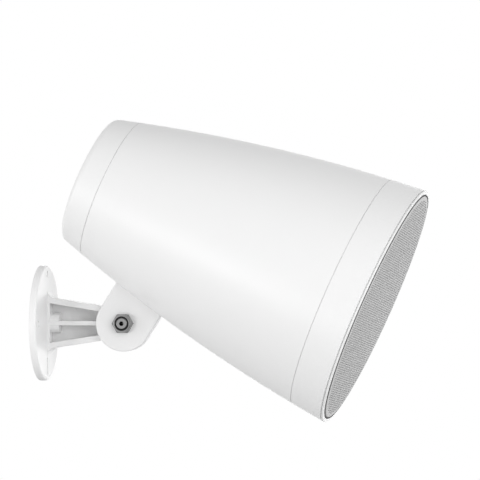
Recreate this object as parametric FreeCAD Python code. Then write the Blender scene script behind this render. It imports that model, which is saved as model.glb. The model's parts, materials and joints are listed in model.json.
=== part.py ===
import FreeCAD
import Part
import math
import os

from FreeCAD import Vector

# Wall speaker: a tapered cabinet hung by its lug on a ribbed wall bracket.
# Millimetres. The origin is the middle of the flange on the wall, +X comes out of the wall, +Z is up.
# The cabinet is drawn along its own X axis from the middle of the front rim, then tilted on the pivot.

# Wall flange
FLANGE_RADIUS = 40.5
FLANGE_THICKNESS = 4.6
FLANGE_EDGE_ROUND = 1.5
SIDE_HOLE_RADIUS = 2.5
SIDE_HOLE_EDGE = 10.0
TOP_HOLE_RADIUS = 2.2
TOP_HOLE_EDGE = 6.0
SLOT_RADIUS = 2.2
SLOT_EDGE = 6.0
SLOT_LENGTH = 8.2

# Bracket arm
ARM_REACH = 60.5
ARM_WIDTH = 14.0
ARM_ROOT_HALF_HEIGHT = 18.3
ARM_TIP_HALF_HEIGHT = 9.4
ARM_ROOT_ROUND = 6.0
ARM_EDGE_BAND = 4.1
ARM_MID_RIB = 3.1
ARM_WEB = 3.0
POCKET_START = 1.5
EYE_RADIUS = 13.0
ROOT_BOSS_RADIUS = 7.0
ROOT_BOSS_LENGTH = 8.0

# Hinge bolt and lock nut
BOLT_RADIUS = 4.0
BOLT_PLAY = 0.05
BOLT_TIP_CHAMFER = 0.8
BOLT_END_PROUD = 0.6
HEX_FLATS = 13.0
HEX_PLAY = 0.1
BOLT_HEAD_HEIGHT = 5.3
NUT_HEX_HEIGHT = 4.4
NUT_HEIGHT = 6.0
NUT_COLLAR_RADIUS = 5.7
NUT_COLLAR_WALL = 0.6
THREAD_PLAY = 0.02
HINGE_PLAY = 0.1

# Lug and pose of the cabinet
TILT_DEGREES = 23.74
LUG_RADIUS = 19.7
LUG_THICKNESS = 8.0
LUG_EDGE_ROUND = 1.0
LUG_LEAN_DEGREES = 8.3
LUG_DROP = 20.1
RIM_REACH = 158.2

# Cabinet skin: a curve through three radii
RIM_RADIUS = 88.0
WAIST_RADIUS = 74.1
TAIL_RADIUS = 50.9
WALL = 3.0
FRONT_SEAM = 25.5
REAR_SEAM = 204.3
CAP_LENGTH = 19.0
SEAM_GAP = 0.4
REAR_EDGE_ROUND = 4.0
TONGUE_PLAY = 0.15
TONGUE_WALL = 2.0
TONGUE_LENGTH = 8.0

# Front ring and grille
LIP_ROUND = 0.5
GROOVE_BEHIND_RIM = 1.5
GROOVE_WIDTH = 0.8
GROOVE_DEPTH = 1.0
LIP_WIDTH = 2.8
RABBET_DEPTH = 4.0
LEDGE_WIDTH = 5.0
LEDGE_THICKNESS = 2.5
GRILLE_PROUD = 0.7
GRILLE_PLAY = 0.15
GRILLE_SHEET = 1.0
GRILLE_BEND_ROUND = 1.2
GRILLE_DISH = 2.5
CLOTH_THICKNESS = 0.6
CLOTH_PLAY = 0.15
CLOTH_PROUD = 0.5

# Baffle and driver fixing
BAFFLE_BEHIND_RIM = 34.0
BAFFLE_THICKNESS = 4.0
GASKET_THICKNESS = 1.0
DRIVER_CLEARANCE = 3.25
FRAME_LANDING = 13.5
FRAME_SCREW_EDGE = 4.5
DRIVER_SCREW_COUNT = 4
DRIVER_BOSS_RADIUS = 3.6
DRIVER_BOSS_LENGTH = 6.0
SCREW_RADIUS = 1.6
SCREW_HEAD_RADIUS = 3.0
SCREW_HEAD_HEIGHT = 2.2
SCREW_PLAY = 0.1
SCREW_START_DEGREES = 45.0

# Driver basket and magnet
BASKET_SHEET = 1.2
BASKET_CLEARANCE = 2.0
BASKET_WAIST_MARGIN = 2.0
BASKET_WAIST_LENGTH = 6.0
BASKET_LEDGE_RADIUS = 28.5
BASKET_HOLE_MARGIN = 0.5
BASKET_WINDOW_COUNT = 4
BASKET_WINDOW_DEGREES = 58.0
BASKET_WINDOW_MARGIN = 4.0
PLATE_RADIUS = 29.0
PLATE_THICKNESS = 5.0
MAGNET_RADIUS = 36.0
MAGNET_BORE_MARGIN = 3.9
MAGNET_THICKNESS = 12.0
POLE_RADIUS = 12.5
COIL_GAP = 0.35

# Moving cone, coil, surround and spider
FORMER_PLAY = 0.4
FORMER_WALL = 0.3
GLUE_LINE = 0.05
FORMER_TAIL = 12.8
WINDING_WALL = 0.5
WINDING_LENGTH = 11.0
CONE_EDGE_GAP = 5.0
CONE_RIM_WIDTH = 2.5
CONE_SHEET = 0.8
CONE_DEPTH = 28.2
NECK_LENGTH = 3.0
FORMER_HEAD = 2.0
WHIZZER_RADIUS = 29.0
WHIZZER_RISE = 16.0
WHIZZER_SHEET = 0.6
DUST_CAP_HEIGHT = 4.5
DUST_CAP_SHEET = 0.5
ROLL_RADIUS = 3.5
SURROUND_SHEET = 0.8
SURROUND_LANDING = 4.5
SPIDER_SHEET = 0.6
SPIDER_LANDING = 4.0
SPIDER_STANDOFF = 3.0
SPIDER_ROOM = 4.0
SPIDER_WAVE_HEIGHT = 1.2
SPIDER_WAVE_COUNT = 3

# Rear cap, seal and screws
CAP_SCREW_EDGE = 7.6
CAP_SCREW_COUNT = 4
CAP_TOWER_RADIUS = 4.2
CAP_TOWER_GAP = 0.2
CAP_HEAD_SINK = 3.0
SHELL_BOSS_LENGTH = 16.0
SHELL_BOSS_RIB = 3.0
SHELL_BOSS_SETBACK = 9.0
SEAL_BEHIND_TONGUE = 3.0
SEAL_WIDTH = 2.0
SEAL_DEPTH = 1.1
SEAL_PLAY = 0.05

# Cable entry
GROMMET_EDGE = 19.3
GROMMET_HOLE_RADIUS = 5.0
GROMMET_BORE_RADIUS = 3.2
GROMMET_RIM_RADIUS = 7.5
GROMMET_RIM_THICKNESS = 1.8
GROMMET_PLAY = 0.05

# Line transformer and terminals on the rear cap
CORE_CLEARANCE = 17.4
CORE_LENGTH = 40.0
CORE_STACK = 16.0
CORE_LEG = 8.0
COIL_PLAY = 0.2
COIL_OVERHANG = 8.0
STRAP_SHEET = 1.0
STRAP_WIDTH = 14.0
STRAP_PLAY = 0.05
STRAP_FOOT = 12.0
STRAP_BOSS_HEIGHT = 4.0
STRAP_BOSS_RADIUS = 4.0
STRAP_SCREW_LENGTH = 5.0
TERMINAL_EDGE = 22.3
TERMINAL_WIDTH = 12.0
TERMINAL_DEPTH = 12.0
TERMINAL_HEIGHT = 32.0
TERMINAL_COUNT = 3
TERMINAL_SCREW_RADIUS = 2.0
TERMINAL_SCREW_LENGTH = 6.0
TERMINAL_SCREW_PLAY = 0.1

AXIS = Vector(1, 0, 0)
SIDEWAYS = Vector(0, 1, 0)
ORIGIN = Vector(0, 0, 0)

# The skin is a parabola through the rim, the waist half way back and the tail at the rear seam
WAIST_BEHIND_RIM = -REAR_SEAM / 2.0
SKIN_BEND = (RIM_RADIUS - 2.0 * WAIST_RADIUS + TAIL_RADIUS) / 2.0
SKIN_TAPER = RIM_RADIUS - WAIST_RADIUS + SKIN_BEND


def skin_radius(x, inset=0.0):
    """Outer radius of the cabinet at a place x behind the rim (x is negative), less an inset."""
    share = x / WAIST_BEHIND_RIM
    return RIM_RADIUS - SKIN_TAPER * share + SKIN_BEND * share * share - inset


def skin_slope(x):
    """Growth of the skin's radius along the axis."""
    share = x / WAIST_BEHIND_RIM
    return (2.0 * SKIN_BEND * share - SKIN_TAPER) / WAIST_BEHIND_RIM


# Sizes that follow from the skin and the driving sizes
REAR_END = REAR_SEAM + CAP_LENGTH
AXIS_HEIGHT = skin_radius(-RIM_REACH) + LUG_DROP
TONGUE_INSET = WALL + TONGUE_PLAY
LINER_INSET = TONGUE_INSET + TONGUE_WALL
RABBET_RADIUS = RIM_RADIUS - LIP_WIDTH
CLOTH_RADIUS = RABBET_RADIUS - CLOTH_PLAY
GRILLE_RADIUS = CLOTH_RADIUS - CLOTH_THICKNESS - GRILLE_PLAY
DRIVER_RADIUS = skin_radius(-BAFFLE_BEHIND_RIM, LINER_INSET) - DRIVER_CLEARANCE
DRIVER_SCREW_CIRCLE = DRIVER_RADIUS - FRAME_SCREW_EDGE
BAFFLE_HOLE_RADIUS = DRIVER_RADIUS - FRAME_LANDING
BASKET_MOUTH_RADIUS = BAFFLE_HOLE_RADIUS - BASKET_CLEARANCE
CONE_RADIUS = BASKET_MOUTH_RADIUS - CONE_EDGE_GAP
BASKET_WAIST_RADIUS = BASKET_LEDGE_RADIUS + SPIDER_LANDING + BASKET_WAIST_MARGIN
BASKET_LEDGE_DEPTH = CONE_DEPTH + NECK_LENGTH + SPIDER_STANDOFF
BASKET_WAIST_DEPTH = BASKET_LEDGE_DEPTH - BASKET_WAIST_LENGTH
BASKET_DEPTH = BASKET_LEDGE_DEPTH + SPIDER_ROOM
FORMER_INNER_RADIUS = POLE_RADIUS + FORMER_PLAY
FORMER_OUTER_RADIUS = FORMER_INNER_RADIUS + FORMER_WALL
GLUED_RADIUS = FORMER_OUTER_RADIUS + GLUE_LINE
PLATE_BORE_RADIUS = GLUED_RADIUS + WINDING_WALL + COIL_GAP
BASKET_HOLE_RADIUS = PLATE_BORE_RADIUS + BASKET_HOLE_MARGIN
MAGNET_BORE_RADIUS = PLATE_BORE_RADIUS + MAGNET_BORE_MARGIN
CAP_SCREW_CIRCLE = skin_radius(-REAR_END) - CAP_SCREW_EDGE
CAP_ROOM_RADIUS = skin_radius(-REAR_END + WALL, LINER_INSET)
GROMMET_SIDE = CAP_ROOM_RADIUS - GROMMET_EDGE
TERMINAL_SIDE = CAP_ROOM_RADIUS - TERMINAL_EDGE
CORE_HEIGHT = 2.0 * (CAP_ROOM_RADIUS - CORE_CLEARANCE)
SIDE_HOLE_REACH = FLANGE_RADIUS - SIDE_HOLE_EDGE
TOP_HOLE_HEIGHT = FLANGE_RADIUS - TOP_HOLE_EDGE
SLOT_FAR_HEIGHT = FLANGE_RADIUS - SLOT_EDGE
SLOT_NEAR_HEIGHT = SLOT_FAR_HEIGHT - SLOT_LENGTH


def on_skin(x, inset=0.0):
    """Profile point on the skin curve, or on the same curve moved inwards."""
    return (x, skin_radius(x, inset))


def profile_vector(point):
    """Profile point (along the axis, radius) in space."""
    return Vector(point[0], 0, point[1])


def skin_edge(start, end):
    """Stretch of the skin's parabola between two points that lie on it at one inset."""
    middle = (start[0] + end[0]) / 2.0
    pole = (middle, start[1] + skin_slope(start[0]) * (middle - start[0]))
    curve = Part.BezierCurve()
    curve.setPoles([profile_vector(p) for p in (start, pole, end)])
    return curve.toShape()


def turned(points, skins=(), rounds=None, degrees=360.0):
    """Body of revolution about the X axis.

    The stretches named in skins follow the cabinet's curve; those in rounds are round corners,
    each given with the sharp corner that it stands for.
    """
    edges = []
    for index, start in enumerate(points):
        end = points[(index + 1) % len(points)]
        if index in skins:
            edges.append(skin_edge(start, end))
        elif rounds and index in rounds:
            edges.append(corner_arc(start, rounds[index], end))
        else:
            edges.append(profile_line(start, end))
    return turned_edges(edges, degrees)


def corner_arc(start, corner, end):
    """Quarter round between two points on the sides of a corner."""
    reach = 2.0 - math.sqrt(2.0)
    through = [c + reach * ((s + e) / 2.0 - c) for s, c, e in zip(start, corner, end)]
    return profile_arc(start, through, end)


def turned_edges(edges, degrees=360.0):
    """Body of revolution about the X axis from profile edges in order."""
    face = Part.Face(Part.Wire(edges))
    solid = face.revolve(ORIGIN, AXIS, degrees)
    if solid.Volume < 0:
        solid.reverse()
    return solid


def ring(x_start, x_end, inner, outer):
    """Plain ring about the X axis."""
    return turned([(x_start, inner), (x_end, inner), (x_end, outer), (x_start, outer)])


def profile_arc(start, through, end):
    """Round stretch of a profile."""
    points = [profile_vector(p) for p in (start, through, end)]
    return Part.Arc(*points).toShape()


def profile_line(start, end):
    """Straight stretch of a profile."""
    return Part.makeLine(profile_vector(start), profile_vector(end))


def box_between(low, high):
    """Block between two corners."""
    size = high - low
    return Part.makeBox(size.x, size.y, size.z, low)


def spaced_round(shape, count, first_degrees=0.0):
    """Copies of a shape spaced evenly about the X axis."""
    copies = []
    for index in range(count):
        copy = shape.copy()
        copy.rotate(ORIGIN, AXIS, first_degrees + index * 360.0 / count)
        copies.append(copy)
    return copies


def cut_all(shape, tools):
    """Shape less every tool."""
    return shape.cut(Part.makeCompound(tools))


def fuse_all(shape, others):
    """One solid of a shape and what grows out of it."""
    for other in others:
        shape = shape.fuse(other)
    return shape.removeSplitter()


def hexagon(flats, start, length, direction):
    """Hexagonal prism from a start point, with two corners along the X axis."""
    corner = flats / math.sqrt(3.0)
    turns = [math.radians(60.0 * index) for index in range(7)]
    points = [start + Vector(corner * math.cos(a), 0, corner * math.sin(a)) for a in turns]
    return Part.Face(Part.makePolygon(points)).extrude(direction * length)


def pan_screw(seat, direction, length):
    """Round-headed screw: its head lies on the seat and its shank runs along the direction."""
    step = SCREW_HEAD_HEIGHT / 2.0
    outward = direction * -1
    head = Part.makeCylinder(SCREW_HEAD_RADIUS, step, seat, outward)
    crown = Part.makeCone(SCREW_HEAD_RADIUS, SCREW_HEAD_RADIUS - step, step, seat + outward * step, outward)
    shank = Part.makeCylinder(SCREW_RADIUS, length, seat, direction)
    return fuse_all(head, [crown, shank])


def seated(shape):
    """Shape drawn in the cabinet's frame, placed on the pivot at the resting tilt."""
    placed = shape.copy()
    placed.translate(Vector(RIM_REACH, 0, AXIS_HEIGHT))
    placed.rotate(ORIGIN, SIDEWAYS, TILT_DEGREES)
    placed.translate(Vector(ARM_REACH, 0, 0))
    return placed


# Wall bracket

def flange():
    """Round wall plate with one top hole, two side holes and a slot below."""
    plate = Part.makeCylinder(FLANGE_RADIUS, FLANGE_THICKNESS, ORIGIN, AXIS)
    front = Vector(FLANGE_THICKNESS, 0, 0)
    rim = [e for e in plate.Edges if e.CenterOfMass.isEqual(front, 1e-4)]
    return plate.makeFillet(FLANGE_EDGE_ROUND, rim)


def flange_holes():
    """Cutters for the fixing holes and the slot."""
    def hole(radius, y, z):
        return Part.makeCylinder(radius, FLANGE_THICKNESS, Vector(0, y, z), AXIS)

    slot = box_between(
        Vector(0, -SLOT_RADIUS, -SLOT_FAR_HEIGHT),
        Vector(FLANGE_THICKNESS, SLOT_RADIUS, -SLOT_NEAR_HEIGHT),
    )
    ends = [hole(SLOT_RADIUS, 0, -SLOT_NEAR_HEIGHT), hole(SLOT_RADIUS, 0, -SLOT_FAR_HEIGHT)]
    sides = [hole(SIDE_HOLE_RADIUS, side * SIDE_HOLE_REACH, 0) for side in (-1, 1)]
    return [fuse_all(slot, ends), hole(TOP_HOLE_RADIUS, 0, TOP_HOLE_HEIGHT)] + sides


def arm_half_height(x):
    """Half the arm's height at a distance from the wall."""
    share = (x - FLANGE_THICKNESS) / (ARM_REACH - FLANGE_THICKNESS)
    return ARM_ROOT_HALF_HEIGHT + (ARM_TIP_HALF_HEIGHT - ARM_ROOT_HALF_HEIGHT) * share


def side_prism(points, y_start, y_end):
    """Prism of a side outline given as (x, z) points."""
    corners = [Vector(x, y_start, z) for x, z in points + points[:1]]
    return Part.Face(Part.makePolygon(corners)).extrude(SIDEWAYS * (y_end - y_start))


def arm_blank():
    """Tapered arm, solid, from the flange to the pivot."""
    x_root, x_tip = FLANGE_THICKNESS, ARM_REACH
    root, tip = arm_half_height(x_root), arm_half_height(x_tip)
    outline = [(x_root, -root), (x_tip, -tip), (x_tip, tip), (x_root, root)]
    return side_prism(outline, 0, ARM_WIDTH)


def arm_pockets():
    """Two open pockets on the near side, parted by the middle rib and closed by the web."""
    x_root, x_tip = FLANGE_THICKNESS + POCKET_START, ARM_REACH
    depth = ARM_WIDTH - ARM_WEB
    eye = Part.makeCylinder(EYE_RADIUS, ARM_WIDTH, Vector(ARM_REACH, 0, 0), SIDEWAYS)
    boss = Part.makeCylinder(
        ROOT_BOSS_RADIUS, FLANGE_THICKNESS + ROOT_BOSS_LENGTH, Vector(0, ARM_WIDTH / 2.0, 0), AXIS
    )
    pockets = []
    for side in (-1, 1):
        near_rib = side * ARM_MID_RIB / 2.0
        outline = [
            (x_root, near_rib),
            (x_tip, near_rib),
            (x_tip, side * (arm_half_height(x_tip) - ARM_EDGE_BAND)),
            (x_root, side * (arm_half_height(x_root) - ARM_EDGE_BAND)),
        ]
        pockets.append(side_prism(outline, 0, depth).cut(eye).cut(boss))
    return pockets


def wall_bracket():
    """Flange and ribbed arm, one moulding, with the eye for the hinge bolt."""
    body = fuse_all(flange(), [arm_blank()])
    at_root = []
    for edge in body.Edges:
        middle = edge.CenterOfMass
        along_width = abs(edge.Length - ARM_WIDTH) < 1e-3
        if along_width and abs(middle.x - FLANGE_THICKNESS) < 1e-3:
            at_root.append(edge)
    body = body.makeFillet(ARM_ROOT_ROUND, at_root)
    pivot = Vector(ARM_REACH, 0, 0)
    body = fuse_all(body, [Part.makeCylinder(EYE_RADIUS, ARM_WIDTH, pivot, SIDEWAYS)])
    bore = Part.makeCylinder(BOLT_RADIUS + BOLT_PLAY, ARM_WIDTH, pivot, SIDEWAYS)
    head_pocket = hexagon(HEX_FLATS + 2 * HEX_PLAY, pivot + SIDEWAYS * head_seat(), ARM_WIDTH, SIDEWAYS)
    return cut_all(body, arm_pockets() + flange_holes() + [bore, head_pocket])


def head_seat():
    """Depth across the arm at which the bolt's head bears."""
    return ARM_WIDTH - BOLT_HEAD_HEIGHT


def lug_near_face():
    """Place of the lug's outer face, where the nut bears."""
    return -HINGE_PLAY - LUG_THICKNESS


def pivot_bolt():
    """Hinge bolt, its head sunk in the arm and its end through the lug and the nut."""
    pivot = Vector(ARM_REACH, 0, 0)
    head = hexagon(HEX_FLATS, pivot + SIDEWAYS * head_seat(), BOLT_HEAD_HEIGHT, SIDEWAYS)
    length = head_seat() - lug_near_face() + NUT_HEIGHT + BOLT_END_PROUD
    shank = Part.makeCylinder(BOLT_RADIUS, length, pivot + SIDEWAYS * head_seat(), SIDEWAYS * -1)
    tip = pivot + SIDEWAYS * (head_seat() - length)
    end = [e for e in shank.Edges if e.CenterOfMass.isEqual(tip, 1e-4)]
    return head.fuse(shank.makeChamfer(BOLT_TIP_CHAMFER, end)).removeSplitter()


def nut_corner_cone(seat):
    """Chamfer cone that rounds off the nut's corners on its outer side."""
    corner = HEX_FLATS / math.sqrt(3.0)
    rise = corner - HEX_FLATS / 2.0
    straight = Part.makeCylinder(corner, NUT_HEX_HEIGHT - rise, seat, SIDEWAYS * -1)
    cone = Part.makeCone(
        corner, HEX_FLATS / 2.0 - rise, 2 * rise, seat - SIDEWAYS * (NUT_HEX_HEIGHT - rise), SIDEWAYS * -1
    )
    return straight.fuse(cone)


def pivot_nut():
    """Lock nut: a chamfered hexagon with a round collar."""
    seat = Vector(ARM_REACH, lug_near_face(), 0)
    body = hexagon(HEX_FLATS, seat, NUT_HEX_HEIGHT, SIDEWAYS * -1).common(nut_corner_cone(seat))
    body = fuse_all(body, [Part.makeCylinder(NUT_COLLAR_RADIUS, NUT_HEIGHT, seat, SIDEWAYS * -1)])
    bore = Part.makeCylinder(BOLT_RADIUS + THREAD_PLAY, NUT_HEIGHT, seat, SIDEWAYS * -1)
    nest = Part.makeCylinder(
        NUT_COLLAR_RADIUS - NUT_COLLAR_WALL, NUT_HEIGHT, seat - SIDEWAYS * NUT_HEX_HEIGHT, SIDEWAYS * -1
    )
    return cut_all(body, [bore, nest])


def nut_insert():
    """Nylon ring in the nut's collar."""
    seat = Vector(ARM_REACH, lug_near_face() - NUT_HEX_HEIGHT, 0)
    height = NUT_HEIGHT - NUT_HEX_HEIGHT
    outer = NUT_COLLAR_RADIUS - NUT_COLLAR_WALL - THREAD_PLAY
    body = Part.makeCylinder(outer, height, seat, SIDEWAYS * -1)
    return body.cut(Part.makeCylinder(BOLT_RADIUS + THREAD_PLAY, height, seat, SIDEWAYS * -1))


# Cabinet

def lug():
    """Flat lug under the cabinet, round below, soft at its near edge, up to the middle of the wall."""
    pivot = Vector(-RIM_REACH, lug_near_face(), -AXIS_HEIGHT)
    disc = Part.makeCylinder(LUG_RADIUS, LUG_THICKNESS, pivot, SIDEWAYS)
    plate = box_between(
        Vector(-LUG_RADIUS, 0, 0), Vector(LUG_RADIUS, LUG_THICKNESS, AXIS_HEIGHT)
    )
    plate.rotate(ORIGIN, SIDEWAYS, LUG_LEAN_DEGREES)
    plate.translate(pivot)
    body = disc.fuse(plate).removeSplitter()
    near = [e for e in body.Edges if e.BoundBox.YMax < lug_near_face() + 1e-4]
    top = max(near, key=lambda e: e.CenterOfMass.z)
    body = body.makeFillet(LUG_EDGE_ROUND, [e for e in near if not e.isSame(top)])
    inside = WALL / 2.0
    core = turned(
        [(0, 0), on_skin(0, inside), on_skin(-REAR_SEAM, inside), (-REAR_SEAM, 0)], skins=(1,)
    )
    bore = Part.makeCylinder(BOLT_RADIUS + BOLT_PLAY, LUG_THICKNESS, pivot, SIDEWAYS)
    return body.cut(core).cut(bore)


def shell_boss(inner_skin):
    """Screw boss for the rear cap, carried by a rib from the wall."""
    x_start = -REAR_SEAM + SHELL_BOSS_SETBACK
    x_end = x_start + SHELL_BOSS_LENGTH
    boss = Part.makeCylinder(CAP_TOWER_RADIUS, SHELL_BOSS_LENGTH, Vector(x_start, 0, CAP_SCREW_CIRCLE), AXIS)
    rib = box_between(
        Vector(x_start, -SHELL_BOSS_RIB / 2.0, CAP_SCREW_CIRCLE),
        Vector(x_end, SHELL_BOSS_RIB / 2.0, RIM_RADIUS),
    )
    return boss.fuse(rib.common(inner_skin)).removeSplitter()


def driver_seat():
    """Front of the baffle."""
    return -BAFFLE_BEHIND_RIM


def driver_front():
    """Front face of the driver's frame."""
    return driver_seat() + GASKET_THICKNESS + BASKET_SHEET


def cabinet_shell():
    """Tapered tube with the baffle, screw bosses and lug moulded on."""
    x_front, x_rear = -FRONT_SEAM - SEAM_GAP, -REAR_SEAM
    x_baffle = driver_seat()
    x_back = x_baffle - BAFFLE_THICKNESS
    body = turned(
        [
            on_skin(x_front),
            on_skin(x_rear),
            on_skin(x_rear, WALL),
            on_skin(x_back, WALL),
            (x_back, BAFFLE_HOLE_RADIUS),
            (x_baffle, BAFFLE_HOLE_RADIUS),
            on_skin(x_baffle, WALL),
            on_skin(x_front, WALL),
        ],
        skins=(0, 2, 6),
    )
    half_wall = WALL / 2.0
    inner = turned(
        [(0, 0), on_skin(0, half_wall), on_skin(x_rear, half_wall), (x_rear, 0)], skins=(1,)
    )
    rear_bosses = spaced_round(shell_boss(inner), CAP_SCREW_COUNT, SCREW_START_DEGREES)
    boss = Part.makeCylinder(
        DRIVER_BOSS_RADIUS, BAFFLE_THICKNESS / 2.0 + DRIVER_BOSS_LENGTH,
        Vector(x_back - DRIVER_BOSS_LENGTH, 0, DRIVER_SCREW_CIRCLE), AXIS,
    )
    front_bosses = spaced_round(boss, DRIVER_SCREW_COUNT, SCREW_START_DEGREES)
    body = fuse_all(body, rear_bosses + front_bosses + [lug()])
    return cut_all(body, cap_screw_bores() + driver_screw_bores())


def driver_screw_length():
    """Length of the driver's screws under the head, short of the boss's end."""
    return BASKET_SHEET + GASKET_THICKNESS + BAFFLE_THICKNESS + DRIVER_BOSS_LENGTH / 2.0


def driver_screw_bores():
    """Holes for the driver's screws, through frame, gasket, baffle and into the bosses."""
    start = Vector(driver_front(), 0, DRIVER_SCREW_CIRCLE)
    bore = Part.makeCylinder(SCREW_RADIUS + SCREW_PLAY, driver_screw_length(), start, AXIS * -1)
    return spaced_round(bore, DRIVER_SCREW_COUNT, SCREW_START_DEGREES)


def driver_screws():
    """Screws that hold the driver to the baffle."""
    seat = Vector(driver_front(), 0, DRIVER_SCREW_CIRCLE)
    screw = pan_screw(seat, AXIS * -1, driver_screw_length())
    return Part.makeCompound(spaced_round(screw, DRIVER_SCREW_COUNT, SCREW_START_DEGREES))


def front_ring():
    """Front trim: it carries the grille and plugs into the tube as far as the baffle."""
    x_seam, x_baffle = -FRONT_SEAM, driver_seat()
    x_ledge = -RABBET_DEPTH - LEDGE_THICKNESS
    body = turned(
        [
            (0, RABBET_RADIUS),
            (0, RIM_RADIUS - LIP_ROUND),
            on_skin(-LIP_ROUND),
            on_skin(x_seam),
            on_skin(x_seam, TONGUE_INSET),
            on_skin(x_baffle, TONGUE_INSET),
            on_skin(x_baffle, LINER_INSET),
            on_skin(x_ledge, LINER_INSET),
            (x_ledge, RABBET_RADIUS - LEDGE_WIDTH),
            (-RABBET_DEPTH, RABBET_RADIUS - LEDGE_WIDTH),
            (-RABBET_DEPTH, RABBET_RADIUS),
        ],
        skins=(2, 4, 6),
        rounds={1: on_skin(0)},
    )
    x_groove = -GROOVE_BEHIND_RIM
    groove = ring(
        x_groove - GROOVE_WIDTH / 2.0, x_groove + GROOVE_WIDTH / 2.0,
        skin_radius(x_groove, GROOVE_DEPTH), RIM_RADIUS + GROOVE_DEPTH,
    )
    return body.cut(groove)


def grille():
    """Dished steel sheet with a turned-back skirt that stands in the cloth's cup, proud of the lip."""
    outer = GRILLE_RADIUS
    inner = outer - GRILLE_SHEET
    floor = -RABBET_DEPTH + CLOTH_THICKNESS
    front, back = GRILLE_PROUD, GRILLE_PROUD - GRILLE_SHEET
    bend = GRILLE_BEND_ROUND
    edges = [
        profile_line((floor, inner), (floor, outer)),
        profile_line((floor, outer), (front - bend, outer)),
        corner_arc((front - bend, outer), (front, outer), (front, outer - bend)),
        profile_arc_dome((front, outer - bend), front + GRILLE_DISH),
        profile_line((front + GRILLE_DISH, 0), (back + GRILLE_DISH, 0)),
        profile_arc_dome((back, inner), back + GRILLE_DISH),
        profile_line((back, inner), (floor, inner)),
    ]
    return turned_edges(edges)


def profile_arc_dome(rim, crown):
    """Arc from a rim point to the crown of a dome on the axis."""
    x_rim, radius = rim
    height = crown - x_rim
    ball = (radius * radius + height * height) / (2.0 * height)
    half = math.asin(radius / ball) / 2.0
    middle = (crown - ball + ball * math.cos(half), ball * math.sin(half))
    return profile_arc(rim, middle, (crown, 0))


def grille_cloth():
    """Dust cloth in the rabbet, a cup for the grille; its edge is the dark line round the grille."""
    inner = CLOTH_RADIUS - CLOTH_THICKNESS
    floor = -RABBET_DEPTH
    return turned(
        [
            (floor, 0),
            (floor, CLOTH_RADIUS),
            (CLOTH_PROUD, CLOTH_RADIUS),
            (CLOTH_PROUD, inner),
            (floor + CLOTH_THICKNESS, inner),
            (floor + CLOTH_THICKNESS, 0),
        ]
    )


# Rear cap

def cap_inside():
    """Inner face of the rear cap's end wall."""
    return -REAR_END + WALL


def cap_tower_end():
    """Front end of the cap's screw towers, just short of the tube's bosses."""
    return -REAR_SEAM + SHELL_BOSS_SETBACK - CAP_TOWER_GAP


def cap_head_seat():
    """Seat of the cap screws' heads, sunk in the end wall."""
    return -REAR_END + CAP_HEAD_SINK


def cap_screw_length():
    """Length of the cap screws under the head."""
    return cap_tower_end() - cap_head_seat() + SHELL_BOSS_LENGTH / 2.0


def cap_screw_bores():
    """Holes for the cap screws, through the towers and into the tube's bosses."""
    start = Vector(cap_head_seat(), 0, CAP_SCREW_CIRCLE)
    bore = Part.makeCylinder(SCREW_RADIUS + SCREW_PLAY, cap_screw_length() + SCREW_PLAY, start, AXIS)
    return spaced_round(bore, CAP_SCREW_COUNT, SCREW_START_DEGREES)


def cap_screws():
    """Screws that hold the rear cap."""
    seat = Vector(cap_head_seat(), 0, CAP_SCREW_CIRCLE)
    screw = pan_screw(seat, AXIS, cap_screw_length())
    return Part.makeCompound(spaced_round(screw, CAP_SCREW_COUNT, SCREW_START_DEGREES))


def seal_band(skin_play, depth):
    """Band round the cap's tongue between two insets from the skin."""
    x_end = -REAR_SEAM + TONGUE_LENGTH - SEAL_BEHIND_TONGUE
    x_start = x_end - SEAL_WIDTH
    high, low = WALL + skin_play, TONGUE_INSET + depth
    return turned(
        [on_skin(x_start, high), on_skin(x_end, high), on_skin(x_end, low), on_skin(x_start, low)],
        skins=(0, 2),
    )


def rear_cap():
    """End cap with a tongue inside the tube, screw towers, transformer bosses and the cable hole."""
    x_seam, x_end, x_inside = -REAR_SEAM - SEAM_GAP, -REAR_END, cap_inside()
    x_tongue = -REAR_SEAM + TONGUE_LENGTH
    body = turned(
        [
            (x_end, 0),
            on_skin(x_end, REAR_EDGE_ROUND),
            on_skin(x_end + REAR_EDGE_ROUND),
            on_skin(x_seam),
            on_skin(x_seam, TONGUE_INSET),
            on_skin(x_tongue, TONGUE_INSET),
            on_skin(x_tongue, LINER_INSET),
            on_skin(x_inside, LINER_INSET),
            (x_inside, 0),
        ],
        skins=(2, 4, 6),
        rounds={1: on_skin(x_end)},
    )
    tower = Part.makeCylinder(
        CAP_TOWER_RADIUS, cap_tower_end() - x_inside, Vector(x_inside, 0, CAP_SCREW_CIRCLE), AXIS
    )
    bosses = [
        Part.makeCylinder(STRAP_BOSS_RADIUS, STRAP_BOSS_HEIGHT, Vector(x_inside, 0, z), AXIS)
        for z in strap_screw_heights()
    ]
    body = fuse_all(body, spaced_round(tower, CAP_SCREW_COUNT, SCREW_START_DEGREES) + bosses)
    sink = Part.makeCylinder(
        SCREW_HEAD_RADIUS + SCREW_PLAY, CAP_HEAD_SINK, Vector(x_end, 0, CAP_SCREW_CIRCLE), AXIS
    )
    grommet_hole = Part.makeCylinder(
        GROMMET_HOLE_RADIUS, WALL, Vector(x_end, -GROMMET_SIDE, 0), AXIS
    )
    cuts = spaced_round(sink, CAP_SCREW_COUNT, SCREW_START_DEGREES) + cap_screw_bores() + strap_screw_bores()
    return cut_all(body, cuts + [grommet_hole, seal_band(0, SEAL_DEPTH)])


def rear_seal():
    """Rubber ring in the tongue's groove."""
    return seal_band(SEAL_PLAY, SEAL_DEPTH - SEAL_PLAY)


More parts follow.
